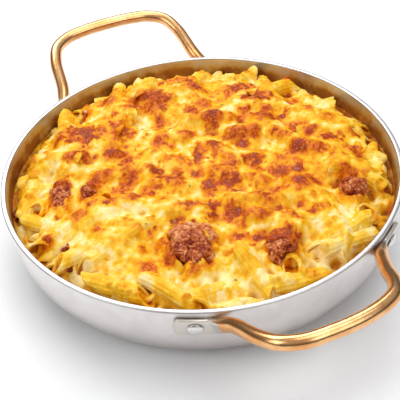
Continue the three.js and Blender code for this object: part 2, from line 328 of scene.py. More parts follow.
def mark(where, name):
    """The value that the mesh keeps at each point under a name."""
    return add_node(where, "ShaderNodeAttribute", {"attribute_name": name}).outputs["Fac"]


def start_material(name):
    """A new material, its shader, and the place on the object."""
    material = bpy.data.materials.new(name)
    material.use_nodes = True
    shader = material.node_tree.nodes["Principled BSDF"]
    return material, shader, add_node(shader, "ShaderNodeTexCoord").outputs["Object"]


def bumped(shader, height, depth_mm):
    """Small relief from a height of 0 to 1 that stands depth_mm high."""
    feed(shader, Normal=add_node(shader, "ShaderNodeBump", Height=height, Strength=1.0,
                                 Distance=depth_mm * MM).outputs[0])

# %% [markdown]
# ## The pan
# The pan is spun aluminium: a flat base, a wide round corner and a wall that leans out
# a little. Its section is short, so it is drawn once as a profile and turned. The
# outside is satin. The bake has browned the inner wall above the food, while the rim
# stays clear of it. Shade is painted on the metal as a darker grey at the foot and at
# the rim, and the stain is painted darker lower down, towards the food.

# %% the pan's sizes
PAN_HEIGHT = 50
RIM_RADIUS = 120
BASE_RADIUS = 88
CORNER_RADIUS = 29
WALL = 3
FIT_GAP = 0.3
RIM_EASE = 0.8
PAN_SIDES = 288
WALL_LEAN = math.acos(CORNER_RADIUS / math.hypot(RIM_RADIUS - BASE_RADIUS,
                                                 PAN_HEIGHT - CORNER_RADIUS)
                      ) - math.atan2(PAN_HEIGHT - CORNER_RADIUS, RIM_RADIUS - BASE_RADIUS)


def wall_radius(height, depth):
    """The wall's radius at a height, at a depth into it from the outside."""
    return RIM_RADIUS - depth / math.cos(WALL_LEAN) - (PAN_HEIGHT - height) * math.tan(WALL_LEAN)


def floor_profile(depth, steps):
    """From the axis along the floor and round the corner, at a depth from the outside."""
    corner = arc((BASE_RADIUS, CORNER_RADIUS), CORNER_RADIUS - depth, -90,
                 -math.degrees(WALL_LEAN), steps)
    return [(0, depth), (BASE_RADIUS * 0.5, depth), *corner]

# %% the satin aluminium
def satin_aluminium():
    """Light grey metal, satin all round, painted a darker grey at the foot and at the rim as
    shade. Inside and under the rim, where the mesh's inside and the height say so, it is
    stained golden brown by the bake, and painted darker lower down, as shade."""
    material, shader, where = start_material("satin_aluminium")
    height = height_of(where)
    stain = times(mark(where, "inside"), spread(height, 0.0494, 0.0478))
    cloud = speckle(where, 55.0, 4.0, 0.6, 0.4)
    drops = speckle(where, 160.0, 3.0, 0.6)
    patchy = plus(times(cloud, 0.65), times(drops, 0.35))
    # the stain's own pattern, with painted shade that browns and darkens it lower down, towards
    # the food
    stain_and_low_shade = spread(plus(patchy, spread(height, 0.0475, 0.0415, -0.1, 0.14)), 0.3, 0.7)
    brown = ramp(stain_and_low_shade, (0.0, 198, 186, 160), (0.35, 194, 170, 122), (0.62, 190, 152, 84),
                 (0.82, 180, 130, 54), (1.0, 150, 96, 34))
    # painted shade: a darker grey towards the foot and at the rim
    painted_foot_shade, rim = spread(height, 0.032, 0.008), spread(height, 0.0485, 0.0495)
    metal = mixed(spread(cloud, 0.35, 0.65), seen(226, 222, 220), seen(218, 214, 212))
    metal = mixed(rim, mixed(painted_foot_shade, metal, seen(178, 172, 167)), seen(190, 187, 186))
    feed(shader, Metallic=spread(stain, 0.0, 1.0, 1.0, 0.55),
         Roughness=plus(plus(0.34, times(cloud, 0.08)), times(stain, 0.12)),
         Base_Color=mixed(times(stain, spread(drops, 0.2, 0.42, 0.72, 1.0)), metal, brown))
    bumped(shader, speckle(where, 1400.0, 2.0), 0.02)
    return material

# %% turn the pan
def pan_profile():
    """Base, outer wall, rounded rim, inner wall and floor, as (radius, height) pairs."""
    outer, inner = wall_radius(PAN_HEIGHT, 0), wall_radius(PAN_HEIGHT, WALL)
    top = PAN_HEIGHT - RIM_EASE
    rim = arc((outer - RIM_EASE, top), RIM_EASE, 0, 90, 5) \
        + arc((inner + RIM_EASE, top), RIM_EASE, 90, 180, 5)
    return floor_profile(0, 16) + rim + floor_profile(WALL, 16)[::-1]


def inner_skin(points):
    """1 where a point lies more than half the wall's thickness in from the outside, else 0."""
    across, height = np.linalg.norm(points[:, :2], axis=1), points[:, 2]
    depth = np.minimum(height, (wall_radius(height, 0) - across) * math.cos(WALL_LEAN))
    round_corner = (across > BASE_RADIUS) & (height < CORNER_RADIUS)
    from_centre = np.hypot(across - BASE_RADIUS, height - CORNER_RADIUS)
    depth = np.where(round_corner, CORNER_RADIUS - from_centre, depth)
    return (depth > WALL / 2).astype(float)


pan_points, pan_faces = turned(pan_profile(), PAN_SIDES)
make_piece("pan_shell", pan_points, pan_faces, satin_aluminium(), "pan", ["pan"],
           {"inside": inner_skin(pan_points)})

# %% [markdown]
# ## The handles
# Each handle is one rod, bent into a loop and hammered flat at both ends, where a rivet
# holds it. A section is carried along a smooth path: it starts as a flat plate that
# leans with the wall, and grows into a round rod. The front one is a little uneven,
# because it was bent by hand.

# %% the rod's path
ROD_DIAMETER = 8.1
PLATE_THICKNESS = 2.8
PLATE_HEIGHT = 12
PLATE_CORNER = 3.4
PLATE_SQUARENESS = 4.6
PLATE_LEVEL = 40.3
PLATE_END = 36
PLATE_NECK = 27
RIVET_ANGLE = 30.6
FLAT_LENGTH = 19.5
ROUND_LENGTH = 33
HANDLE_SKEW = 2.325
STRAIGHT_LEG = [(112.9, 50.8, 43.9), (119, 48, 48.3), (140, 44.8, 57.2), (151, 39.9, 61.2),
                (157.4, 30.5, 62.9), (159.9, 18.8, 63.6), (161, 0, 63.8)]
LEANING_LEG = [(112.9, 49.8, 43.9), (117.8, 45.4, 47.8), (125.5, 40.8, 51.3), (135, 36, 55.4),
               (146.5, 31.2, 59.8), (154.4, 25, 62.4), (159, 14.5, 63.5), (161, 0, 63.8)]


def half_route(leg, side):
    """From a plate's end along the wall and out over a leg to the middle of the bar."""
    radius = wall_radius(PLATE_LEVEL, 0) + FIT_GAP + PLATE_THICKNESS / 2
    angle = np.radians([PLATE_END, (PLATE_END + RIVET_ANGLE) / 2, RIVET_ANGLE, PLATE_NECK])
    plate = np.stack([radius * np.cos(angle), radius * np.sin(angle),
                      np.full(4, PLATE_LEVEL)], -1)
    return np.vstack([plate, leg]) * (1, side, 1)


def smooth_path(points, step):
    """A centripetal Catmull-Rom curve through the points, at equal steps of length."""
    ends = [2 * points[0] - points[1], *points, 2 * points[-1] - points[-2]]
    t = np.linspace(0, 1, 60, endpoint=False)[:, None]
    curve = []
    for a, b, c, d in zip(ends, ends[1:], ends[2:], ends[3:]):
        before, here, after = (math.sqrt(np.linalg.norm(q - p)) for p, q in
                               ((a, b), (b, c), (c, d)))
        go = ((b - a) / before - (c - a) / (before + here) + (c - b) / here) * here
        come = ((c - b) / here - (d - b) / (here + after) + (d - c) / after) * here
        curve.append(b + go * t + (3 * (c - b) - 2 * go - come) * t ** 2
                     + (2 * (b - c) + go + come) * t ** 3)
    curve = np.vstack([*curve, points[-1:]])
    length = np.r_[0, np.cumsum(np.linalg.norm(np.diff(curve, axis=0), axis=1))]
    along = np.linspace(0, length[-1], int(length[-1] / step) + 1)
    return np.stack([np.interp(along, length, curve[:, k]) for k in range(3)], -1), along

# %% sweep the rod
ROD_SIDES = 48


def rod_shape(first_leg, second_leg):
    """Sections carried along the path. Half height and half thickness blend from the
    plate's to the rod's, and the power of the rounded square blends to a circle's."""
    route = np.vstack([half_route(first_leg, 1), half_route(second_leg, -1)[-2::-1]])
    middle, along = smooth_path(route, 0.8)
    length = along[-1]
    tips = np.array([0, 0.02, 0.1, 0.25, 0.5, 0.8, 1.3, 1.9, 2.6])
    places = np.r_[tips, along[(along > 3) & (along < length - 3)], length - tips[::-1]]
    middle = np.stack([np.interp(places, along, middle[:, k]) for k in range(3)], -1)
    tangent = np.gradient(middle, places, axis=0)
    tangent /= np.linalg.norm(tangent, axis=1)[:, None]
    from_end = np.minimum(places, length - places)
    roundness = ease(from_end, FLAT_LENGTH, ROUND_LENGTH)
    corner = np.maximum(0, PLATE_CORNER - from_end)
    cut = PLATE_CORNER - np.sqrt(PLATE_CORNER ** 2 - corner ** 2)
    edge = np.minimum(1, 0.35 + 0.65 * np.sqrt(np.minimum(1, from_end / 0.9)))
    narrowing = ease(from_end, FLAT_LENGTH - 3, ROUND_LENGTH - 5)
    half_height = (PLATE_HEIGHT * (1 - narrowing) + ROD_DIAMETER * narrowing) / 2 - cut
    half_depth = (PLATE_THICKNESS * (1 - roundness) + ROD_DIAMETER * roundness) / 2 * edge
    power = 2 / (PLATE_SQUARENESS * (1 - roundness) + 2 * roundness)
    lean = WALL_LEAN * (1 - roundness)[:, None]
    out = np.cross([0, 0, 1], tangent)
    out /= np.linalg.norm(out, axis=1)[:, None]
    high = np.cross(tangent, out)
    outward = out * np.cos(lean) - high * np.sin(lean)
    upward = high * np.cos(lean) + out * np.sin(lean)
    a, b = np.cos(circle(ROD_SIDES)), np.sin(circle(ROD_SIDES))
    a = np.sign(a) * np.abs(a) ** power[:, None]
    b = np.sign(b) * np.abs(b) ** power[:, None]
    rings = (middle[:, None] + outward[:, None] * (half_depth[:, None] * a)[..., None]
             + upward[:, None] * (half_height[:, None] * b)[..., None])
    # 1 on the plate's outer face, where the copper is worn off; a half on its top edge, a
    # painted highlight
    plate = (1 - roundness)[:, None] * np.maximum(ease(a, 0.5, 0.9), 0.5 * ease(b, 0.1, 0.6))
    return rings, plate

# %% [markdown]
# The rod is copper over steel, polished bright with a fine grain. On the hammered plates
# the copper is worn off and the outer face shows silvery. The plates' top edges are
# painted half silvery, as a highlight.

# %% polished copper
def polished_copper():
    """Warm polished metal, silvery on the plates' outer faces, and half silvery on their top
    edges as a painted highlight.
    """
    material, shader, where = start_material("polished_copper")
    plate = mark(where, "silvered_face_and_edge_highlight")
    cloud = speckle(where, 90.0, 3.0, 0.6)
    copper = mixed(spread(cloud, 0.35, 0.65), seen(240, 188, 132), seen(226, 162, 102))
    feed(shader, Metallic=1.0,
         Base_Color=mixed(spread(plate, 0.1, 0.6), copper, seen(214, 208, 200)),
         Roughness=plus(spread(plate, 0.0, 1.0, 0.2, 0.33), times(cloud, 0.08)))
    bumped(shader, speckle(where, 900.0, 2.0), 0.03)
    return material

# %% place both handles
copper = polished_copper()


def handle_piece(name, node, degrees, legs):
    """One handle, turned to its side of the pan."""
    rings, plate = rod_shape(*legs)
    points, faces = capped(rings)
    make_piece(name, turn_about_z(points, degrees), faces, copper, "handle", [node],
               {"silvered_face_and_edge_highlight": np.r_[plate.ravel(), 0, 0]})


handle_piece("front_rod", "handle_front", HANDLE_SKEW, (LEANING_LEG, STRAIGHT_LEG))
handle_piece("back_rod", "handle_back", 180 - HANDLE_SKEW, (STRAIGHT_LEG, STRAIGHT_LEG))

# %% [markdown]
# ## The rivets
# A rivet is a soft metal pin whose head is pressed to a low dome. Four of them are
# turned from one profile, stood on the wall at the plates, and joined into one piece.

# %% turn and set the rivets
RIVET_HEAD = 8.8
RIVET_DOME = 1.7
RIVET_SHANK = 4.4
RIVET_SIDES = 48


def rivet_profile():
    """Shank, the head's flat seat, its rolled edge and the dome, on the rivet's axis."""
    seat = FIT_GAP + PLATE_THICKNESS + FIT_GAP
    radius = RIVET_HEAD / 2
    angle = np.radians(np.linspace(12, 90, 12))
    dome = [(radius * math.cos(a), seat + RIVET_DOME * math.sin(a)) for a in angle[:-1]]
    return [(0, FIT_GAP - WALL), (RIVET_SHANK / 2, FIT_GAP - WALL), (RIVET_SHANK / 2, seat),
            (radius - 0.25, seat), (radius, seat + 0.2), *dome, (0, seat + RIVET_DOME)]


def onto_wall(points, degrees):
    """Points that stand on Z set square onto the wall, at an angle round the pan."""
    lean = np.array([[math.sin(WALL_LEAN), 0, math.cos(WALL_LEAN)], [0, 1, 0],
                     [math.cos(WALL_LEAN), 0, -math.sin(WALL_LEAN)]])
    turned_out = np.asarray(points) @ lean
    return turn_about_z(turned_out + (wall_radius(PLATE_LEVEL, 0), 0, PLATE_LEVEL), degrees)


def polished_rivet():
    """Bright aluminium, a little uneven in tone and gloss."""
    material, shader, where = start_material("polished_rivet")
    cloud = speckle(where, 300.0, 3.0)
    feed(shader, Metallic=1.0, Roughness=spread(cloud, 0.3, 0.7, 0.2, 0.34),
         Base_Color=mixed(cloud, seen(232, 230, 228), seen(205, 203, 202)))
    bumped(shader, speckle(where, 1200.0, 2.0), 0.02)
    return material


shape, skin = turned(rivet_profile(), RIVET_SIDES)
rivet_places = [side + turn for side in (HANDLE_SKEW, 180 - HANDLE_SKEW)
                for turn in (-RIVET_ANGLE, RIVET_ANGLE)]
make_piece("rivet_heads", *joined([(onto_wall(shape, at), skin) for at in rivet_places]),
           polished_rivet(), "rivet",
           ["rivet_front_1", "rivet_front_2", "rivet_back_1", "rivet_back_2"])

# %% [markdown]
# ## How the penne lie
# The solids already hold the penne that stand out of the crust. The same rule gives
# their places here: rings round the dish, and at each place the heading with most
# room. More penne are then packed low between them, as a full dish has.

# %% the mound under the crust
EDGE_LEVEL = 38.5
CROWN_LEVEL = 49
MOUND_POWER = 3.2
CRUST_DEPTH = 1.3


def bake_level(x, y):
    """The mound's height: flat in the middle, falling to the wall, with broad bumps."""
    share = np.minimum(1, np.hypot(x, y) / wall_radius(EDGE_LEVEL, WALL)) ** MOUND_POWER
    broad = np.sin(0.19 * x + 0.11 * y + 1.3) * np.sin(0.21 * y - 0.12 * x + 0.7)
    fine = np.sin(0.37 * x - 0.29 * y + 2.1) * np.sin(0.33 * x + 0.41 * y + 0.4)
    return CROWN_LEVEL + (EDGE_LEVEL - CROWN_LEVEL) * share + CRUST_DEPTH * (broad + 0.6 * fine)

# %% the penne's places
PENNE_LENGTH = 33
PENNE_DIAMETER = 10.6
PENNE_SLANT = 4.8
PENNE_RINGS = (101, 82, 63, 43, 22)
PENNE_SPACING = 33
PENNE_SHIFT = 8
PENNE_DRIFT = 0.6
PENNE_TILT = 8
TILT_BY_WALL = 1.0
BY_WALL = 96
PENNE_TRIES = 10
PENNE_REACH = 108.5
RISE_AT_EDGE = 1.6
RISE_AT_CROWN = -3
CHUNK_ROOM = 1.25
CHUNK_HEADING = -24
CHUNK_SEAT = 0.2
# place, half sizes along and across their heading, and height
CHUNKS = [(-20, -83, 12.5, 6, 5.5), (-12, -68, 6.5, 5, 4.5), (60, -36, 16, 13, 8),
          (84, 7, 11, 8, 6.5), (62, 67, 8, 7, 5.5)]


def along_penne(ends):
    """Five points from one end to the other on plan."""
    return ends[0] + np.linspace(0, 1, 5)[:, None] * (ends[1] - ends[0])


def room_for(ends, placed):
    """Distance to the nearest penne, at most a penne's length, or -1 beside a chunk."""
    points = along_penne(ends)
    for x, y, along, *_ in CHUNKS:
        reach = CHUNK_ROOM * along + PENNE_DIAMETER / 2
        if np.any(np.hypot(points[:, 0] - x, points[:, 1] - y) < reach):
            return -1
    if not placed:
        return PENNE_LENGTH
    others = np.vstack([along_penne(place["ends"][:, :2]) for place in placed])
    gaps = np.linalg.norm(points[:, None] - others[None], axis=2)
    return min(PENNE_LENGTH, gaps.min())


def penne_ends(middle, degrees):
    """A penne's two ends on plan, moved inwards until neither passes PENNE_REACH."""
    half = PENNE_LENGTH / 2 * way(math.radians(degrees))
    ends = np.array([middle - half, middle + half])
    over = max(0, np.linalg.norm(ends, axis=1).max() - PENNE_REACH)
    return ends - over * middle / np.linalg.norm(middle)


def roomiest(piece, around, out, tries, placed):
    """A penne's ends at a place, in the roomiest of a few headings, and its room there."""
    headings = [penne_ends(out * way(around), 360 * draw(piece, 10 + t))
                for t in range(tries)]
    rooms = [room_for(ends, placed) for ends in headings]
    best = int(np.argmax(rooms))
    return headings[best], rooms[best]


def end_levels(piece, ends, rise, tilt):
    """Heights of a penne's ends: on the mound, plus a rise, plus a tilt by chance. An end
    beside the wall isn't tilted up by more than TILT_BY_WALL."""
    play = tilt * (np.array([draw(piece, 4), draw(piece, 5)]) - 0.5)
    by_wall = np.linalg.norm(ends, axis=1) > BY_WALL
    play = np.where(by_wall, np.minimum(play, TILT_BY_WALL), play)
    return bake_level(ends[:, 0], ends[:, 1]) + rise + play


def lay_penne():
    """The penne that stand out of the crust, on rings, in the roomiest heading each."""
    placed = []
    for ring, radius in enumerate(PENNE_RINGS):
        count = int(2 * math.pi * radius / PENNE_SPACING)
        rise = RISE_AT_CROWN + (RISE_AT_EDGE - RISE_AT_CROWN) * radius / PENNE_RINGS[0]
        for k in range(count):
            piece = ring * 100 + k
            around = (k + PENNE_DRIFT * draw(piece, 1)) / count * 2 * math.pi
            out = radius + PENNE_SHIFT * (draw(piece, 2) - 0.5)
            ends, room = roomiest(piece, around, out, PENNE_TRIES, placed)
            if room >= 0:
                level = end_levels(piece, ends, rise, PENNE_TILT)
                placed.append({"piece": piece, "ends": np.c_[ends, level]})
    return placed


standing = lay_penne()
print("penne that stand out:", len(standing))

# %% penne with open mouths
# where a mouth shows by the wall, and the way it looks, in degrees
MOUTHS = [(-60, -80, -50), (-43, -95, -60), (-20, -101, -55), (72, -69, -40), (98, 5, -25),
          (80, 66, 15)]
MOUTH_RISE = 1.2
MOUTH_DROP = 11
MOUTH_BARE = 0.16
MOUTH_RUN = 0.95
NO_END = -0.05                # an end with nothing bare, and covered a little past it


def open_mouths():
    """Penne that slope up out of the bake, so that their upper end looks out of it. Each
    lies on a line back from its mouth, which is cut so as to face up."""
    shown = []
    for k, (x, y, degrees) in enumerate(MOUTHS):
        back = np.array([x, y]) - MOUTH_RUN * PENNE_LENGTH * way(math.radians(degrees))
        ends = np.array([back, [x, y]])
        level = bake_level(x, y) + MOUTH_RISE
        shown.append({"piece": 2000 + k, "turn": 1.5 * math.pi, "bare": (NO_END, MOUTH_BARE),
                      "ends": np.c_[ends, [level - MOUTH_DROP, level]]})
    return shown


mouths = open_mouths()

# %% [markdown]
# The rest of the dish is filled with penne that lie lower and more askew. They take the
# same rule on closer rings, where each drops lower the less room it has.

# %% penne packed low
# ring radius and how many lie on it
LOW_RINGS = ((105, 50), (95, 42), (84, 34), (72, 24))
LOW_TRIES = 7
LOW_ROOM = 2.2
LOW_TILT = 10
LOW_DRIFT = 0.7
LOW_SHIFT = 7
LOW_DROP, HIGH_DROP = 3.2, 0.4           # where there is least and most room
MOST_ROOM = LOW_ROOM + 5


def pack_low(placed):
    """Penne on close rings, each in the roomiest of a few headings, or left out where the
    room is less than LOW_ROOM. Height follows the mound, less a drop for little room."""
    low = []
    for ring, (radius, count) in enumerate(LOW_RINGS):
        for k in range(count):
            piece = 1000 + 100 * ring + k
            around = (k + LOW_DRIFT * draw(piece, 1)) / count * 2 * math.pi
            out = radius + LOW_SHIFT * (draw(piece, 2) - 0.5)
            ends, room = roomiest(piece, around, out, LOW_TRIES, placed + low)
            if room >= LOW_ROOM:
                drop = np.interp(room, (LOW_ROOM, MOST_ROOM), (LOW_DROP, HIGH_DROP))
                level = end_levels(piece, ends, -drop, LOW_TILT)
                low.append({"piece": piece, "ends": np.c_[ends, level]})
    return low


lying_low = pack_low(standing + mouths)
print("penne packed low:", len(lying_low))

# %% [markdown]
# ## One penne
# Penne are tubes with fine ridges, cut slantwise at both ends. The tube is a grid that
# runs along the outside, over the cut, back through the bore and over the other cut, so
# that its rows and its columns both join up. Baking has bent and flattened each a bit.

# %% a ridged tube
RIDGES = 13
RIDGE_DEPTH = 0.3
FILM_DEPTH = 0.85
BORE_DIAMETER = 6.8
TUBE_SIDES = 52
TUBE_STEPS = 17
LIP = 0.45                    # rounding of a cut edge


def penne_tube(place):
    """Ring by ring: outer rings from end to end, then bore rings back. Along the axis a
    point is moved by the slant times the cosine of its angle from the cut's high side."""
    piece, (start, end) = place["piece"], place["ends"]
    length = np.linalg.norm(end - start)
    along = (end - start) / length
    across = np.cross([0, 0, 1], along)
    across /= np.linalg.norm(across)
    high = np.cross(along, across)
    turn = place.get("turn", 2 * math.pi * draw(piece, 6))
    angle = circle(TUBE_SIDES)
    outer = PENNE_DIAMETER / 2 - RIDGE_DEPTH * (0.5 - 0.5 * np.cos(RIDGES * angle)) ** 0.8
    inner = np.full(TUBE_SIDES, BORE_DIAMETER / 2)
    steps = np.linspace(LIP, length - LIP, TUBE_STEPS)
    rows = [(LIP * 0.3, outer - LIP * 0.5), *((s, outer) for s in steps),
            (length - LIP * 0.3, outer - LIP * 0.5), (length, (outer + inner) / 2),
            *((s, inner) for s in steps[::-4]), (0, (outer + inner) / 2)]
    squash = 1 - 0.1 * draw(piece, 20)
    bow = 1.6 * (draw(piece, 21) - 0.5)
    rings = []
    for s, radius in rows:
        place_along = s + PENNE_SLANT * np.cos(angle - turn)
        lift = bow * (1 - (2 * np.clip(place_along / length, 0, 1) - 1) ** 2)
        rings.append(start + place_along[:, None] * along
                     + (radius / squash * np.cos(angle))[:, None] * across
                     + (radius * squash * np.sin(angle) + lift)[:, None] * high)
    rings = np.array(rings)
    skin = TUBE_STEPS + 2
    film = FILM_DEPTH * rough(rings[:skin], 5.2, 2, seed=70)[..., None]
    rings[:skin] += film * (rings[:skin] - rings[:skin].mean(1, keepdims=True)) / 5
    is_bore = np.array([np.any(radius < BORE_DIAMETER / 2 + 0.2) for _, radius in rows], float)
    bore = np.repeat(is_bore[:, None], TUBE_SIDES, 1)
    tone = np.full(bore.size, draw(piece, 22))
    faces = [grid_quads(len(rows), TUBE_SIDES, joined_rows=True)]
    return rings.reshape(-1, 3), faces, bore.ravel(), tone

# %% [markdown]
# ## The cheese
# Melted cheese is a sheet that drapes over the penne. Its height is worked out on a
# flat map of the dish: the highest penne at each place, smoothed as melted cheese
# smooths it, filled up in the middle of the dish and thin near the wall, where penne
# come through. Then come the blisters, which the oven raises and browns.

# %% a flat map of the dish
MAP_STEP = 0.5
MAP_HALF = 118


def map_grid():
    """Plan places of the map's points, as one (rows, columns, 2) array."""
    side = np.arange(-MAP_HALF, MAP_HALF + MAP_STEP / 2, MAP_STEP)
    return np.stack(np.meshgrid(side, side, indexing="ij"), -1)


def softened(field, spread_mm):
    """A map blurred by a bell curve of a width, by repeated box averages along each side."""
    size = max(1, int(round(spread_mm / MAP_STEP * 1.1)))
    for _ in range(3):
        for axis in (0, 1):
            wide = np.pad(field, [(size + 1, size) if k == axis else (0, 0) for k in (0, 1)],
                          mode="edge")
            total = np.cumsum(wide, axis=axis)
            low, high = [slice(None)] * 2, [slice(None)] * 2
            low[axis], high[axis] = slice(0, -2 * size - 1), slice(2 * size + 1, None)
            field = (total[tuple(high)] - total[tuple(low)]) / (2 * size + 1)
    return field


def read_map(field, points):
    """A map's value at plan places, blended between its four nearest points."""
    place = np.clip((points + MAP_HALF) / MAP_STEP, 0, len(field) - 1.001)
    corner = place.astype(int)
    u, v = (place - corner).T
    i, j = corner.T
    return ((1 - u) * (1 - v) * field[i, j] + u * (1 - v) * field[i + 1, j]
            + (1 - u) * v * field[i, j + 1] + u * v * field[i + 1, j + 1])


plan = map_grid()
from_axis = np.hypot(plan[..., 0], plan[..., 1])
mound = bake_level(plan[..., 0], plan[..., 1])
flat = np.dstack([plan, np.zeros(mound.shape)])     # the same places for noise in space
within = from_axis < 110                            # the part that shows
print("map:", mound.shape)

# %% the tops of the penne on the map
OPEN_END = 0.04               # share of the length that an open end leaves bare
BURIED_TO = 92
FLOOR_UNDER = 3.5             # how far the pasta may lie under the mound


def ends_out(place):
    """How far from the dish's axis each end of a penne lies."""
    return np.linalg.norm(place["ends"][:, :2], axis=1)


def by_the_rim(place):
    """Whether a penne reaches the part of the dish where the cheese is thin."""
    return ends_out(place).max() > BURIED_TO


def penne_tops(places):
    """The highest penne at each point: its axis height plus the rise of a round section,
    the root of the radius squared less the distance from the axis squared. The last bit
    of each end is left out, so that cheese doesn't close the mouths."""
    tops, radius = np.full(mound.shape, -99.0), PENNE_DIAMETER / 2
    for place in places:
        start, end = place["ends"]
        run = end[:2] - start[:2]
        length = np.linalg.norm(run)
        rel = plan - start[:2]
        share = (rel @ run) / length ** 2
        away = np.abs(rel @ np.array([-run[1], run[0]])) / length
        rise = np.sqrt(np.maximum(0, radius ** 2 - away ** 2))
        level = start[2] + share * (end[2] - start[2]) + rise
        bare = place.get("bare", np.where(ends_out(place) > BURIED_TO, OPEN_END, NO_END))
        inside = (away < radius) & (share > bare[0]) & (share < 1 - bare[1])
        tops = np.where(inside, np.maximum(tops, level), tops)
    return tops


pasta_tops = np.maximum(penne_tops(standing + mouths + lying_low), mound - FLOOR_UNDER)
print("pasta tops:", pasta_tops.max().round(1))

# %% drape the cheese
FILLED_TO = 80
THIN_FROM = 108
PIT_RADIUS = 4.8
PIT_DEPTH = 9
PIT_BACK = 1.5
FAR_SIDE = np.array([-0.915, 0.403])    # across the dish, away from the camera
# how far over, in half sizes, each chunk lies bare before cheese covers it
CHUNK_BARE_TO = (0.55, 0.5, 0.95, -0.3, 0.15)


def about_chunk(chunk):
    """Distance from a chunk's middle in shares of its half sizes, and how far over to its
    far side each place lies, in the same shares."""
    x, y, along, across, _ = chunk
    rel = plan - (x, y)
    axis = way(math.radians(CHUNK_HEADING))
    away = np.hypot(rel @ axis / along, rel @ np.array([-axis[1], axis[0]]) / across)
    return away, rel @ FAR_SIDE / along


def over_chunks(drape):
    """The cheese with a dome over the far part of each chunk, where noise decides how
    much of it shows, and a low collar on the near side. Also how far each dome covers."""
    covered = np.zeros(mound.shape)
    for number, (chunk, bare_to) in enumerate(zip(CHUNKS, CHUNK_BARE_TO)):
        away, far = about_chunk(chunk)
        wobble = rough(flat, 6, 3, seed=60 + number, fade=0.6)
        seat = bake_level(chunk[0], chunk[1]) + CHUNK_SEAT * chunk[4]
        dome = seat + chunk[4] * np.sqrt(np.maximum(0, 1 - (away / 1.3) ** 2)) + 0.9
        share = ease(far + 0.3 * wobble, bare_to, bare_to + 0.3) * (1 - ease(away, 1.0, 1.3))
        collar = 0.72 * chunk[4] * (1 - ease(away, 1.0, 1.65)) * (0.75 + 0.5 * wobble)
        collar = collar * ease(away + 0.25 * wobble, 0.72, 0.92)
        drape = np.maximum(drape + collar, drape + share * (dome - drape))
        covered = np.maximum(covered, share * (1 - ease(away, 1.0, 1.3)))
    return drape, covered


def sunk_in_mouths(drape):
    """The cheese with a pit at each open mouth, as deep as PIT_DEPTH under its rim, so
    that the bore stays free."""
    for place in mouths:
        start, end = place["ends"]
        ahead = (end - start)[:2] / np.linalg.norm((end - start)[:2])
        away = np.linalg.norm(plan - (end[:2] - PIT_BACK * ahead), axis=-1) / PIT_RADIUS
        bottom = min(end[2], bake_level(*end[:2])) - PIT_DEPTH
        drape += (np.minimum(drape, bottom) - drape) * (1 - ease(away, 0.6, 1.15))
    return drape


def cheese_drape():
    """Height of the cheese. In the middle it buries the softened pasta and fills its
    valleys; outwards it is thinner, and patches of noise uncover the penne. Curds of
    three sizes are added, and cheese laps over each chunk."""
    near, wide = softened(pasta_tops, 0.8), softened(pasta_tops, 4.6)
    filled = 1 - ease(from_axis, FILLED_TO, THIN_FROM)
    patches = rough(flat, 7, 3, seed=3)
    middle = 0.3 * near + 0.7 * wide + 1.7
    edge = near - 0.3 + 2.4 * patches
    drape = edge + (middle - edge) * filled
    curds = (0.6 * rough(flat, 8.5, 2, seed=11) + 0.7 * rough(flat, 4.4, 2, seed=13)
             + 0.4 * rough(flat, 2.4, 1, seed=15))
    return over_chunks(sunk_in_mouths(drape + curds))


cheese, covered = cheese_drape()
print("cheese:", cheese[within].min().round(1), cheese[within].max().round(1))

# %% [markdown]
# Browned patches lie over the middle and the back of the dish, where the oven is hottest.
# The larger ones have measured places. Small blisters fill in between them by chance.
# Each patch is a low dome of grains with a broken outline. How brown the crust is gets
# kept as a map: dark on a patch, with an orange halo round it.

# %% raise the browned patches
# place, and half sizes across and along the line of sight
PATCHES = [(-65, -49, 12.5, 9), (-56, -28, 5.5, 8), (-78, -8, 6, 10), (-73, 3, 9, 10),
           (-52, -3, 3, 7), (-76, 33, 5.5, 5.5), (-45, -62, 6.5, 5), (-28, -36, 3, 4.5),
           (-33, 7, 4, 4), (-35, -12, 3, 2.5), (-38, 27, 5, 6.5), (-54, 31, 3, 4),
           (-51, 20, 4.5, 7.5), (-11, 4, 3.5, 8), (-13, 15, 4, 3), (2, -19, 5.5, 5),
           (-9, -25, 3.5, 3), (4, -4, 3, 3), (-6, -50, 3, 4.5), (8, -37, 3.5, 3.5),
           (8, -47, 3.5, 3), (20, -3, 4.5, 6), (24, 8, 6, 5.5), (31, -20, 5.5, 4),
           (35, -11, 4, 4.5), (-59, 59, 8.5, 4.5), (-44, 61, 9, 4.5), (-24, 55, 9, 4.5),
           (-33, 48, 3, 4), (-15, 31, 7.5, 4.5), (11, 30, 5, 5), (27, 39, 4, 5),
           (43, 16, 5.5, 3), (47, -3, 5, 5), (58, -2, 2, 3), (59, 11, 4.5, 3.5),
           (60, 21, 2.5, 2.5), (69, 24, 4.5, 3), (63, -7, 4, 2.5), (70, 3, 5, 2),
           (78, 16, 4, 3.5), (45, 42, 4, 4), (43, 51, 4, 3), (-4, 68, 5, 6), (7, 71, 3, 3.5),
           (-4, 93, 3, 4), (17, 81, 6.5, 3.5), (24, 69, 4, 4.5), (32, 88, 5, 3.5),
           (15, 58, 4, 3), (-96, 21, 4, 3.5), (-95, -24, 4, 3.5), (46, 72, 6.5, 2.5),
           (-38, -40, 6.5, 3.5), (8, 14, 4, 2.5), (-14, -9, 5, 4.5), (61, -50, 3.5, 4),
           (60, -60, 3.5, 3)]
SMALL_BLISTERS = 420
HOT_CENTRE = np.array([-20.0, 10.0])
HOT_REACH = 112
BLISTER_REACH = 108
ACROSS_SIGHT = np.array([FAR_SIDE[1], -FAR_SIDE[0]])
FIRST_BLISTER = 9000
BLISTER_TRIES = 12 * SMALL_BLISTERS


